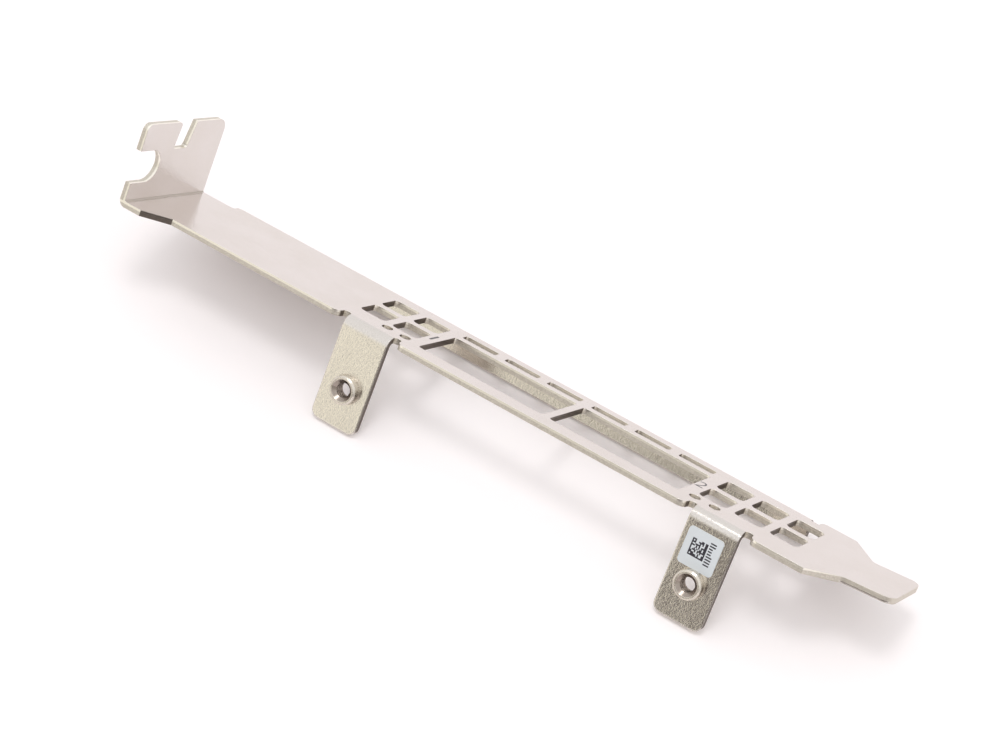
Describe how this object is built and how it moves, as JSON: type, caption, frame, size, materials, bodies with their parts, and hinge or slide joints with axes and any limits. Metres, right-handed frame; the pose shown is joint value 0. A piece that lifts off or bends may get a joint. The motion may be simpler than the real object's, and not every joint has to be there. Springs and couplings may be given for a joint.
{
  "type": "pci slot cover bracket",
  "caption": "Folded steel bracket that closes an expansion slot and carries its card: screw tab, connector windows, air vents, flange, and ears with pressed-in threaded standoffs.",
  "frame": {"origin": "where the axis of the chassis screw leaves the outer face of the screw tab, at the centre of the slot's round end", "axes": "+X along the plate from the tab to the tongue, +Y across it from the edge with the ears to the flange, +Z out of the plate's outer face"},
  "size_m": [0.1197, 0.0214, 0.0263],
  "materials": {
    "plated_steel": "satin nickel-grey plating on cold-rolled sheet",
    "standoff_steel": "turned, satin plating",
    "label_film": "matt printed film"
  },
  "bodies": {
    "root": {"bracket": "plated_steel", "standoffs": "standoff_steel", "label": "label_film"}
  },
  "joints": []
}
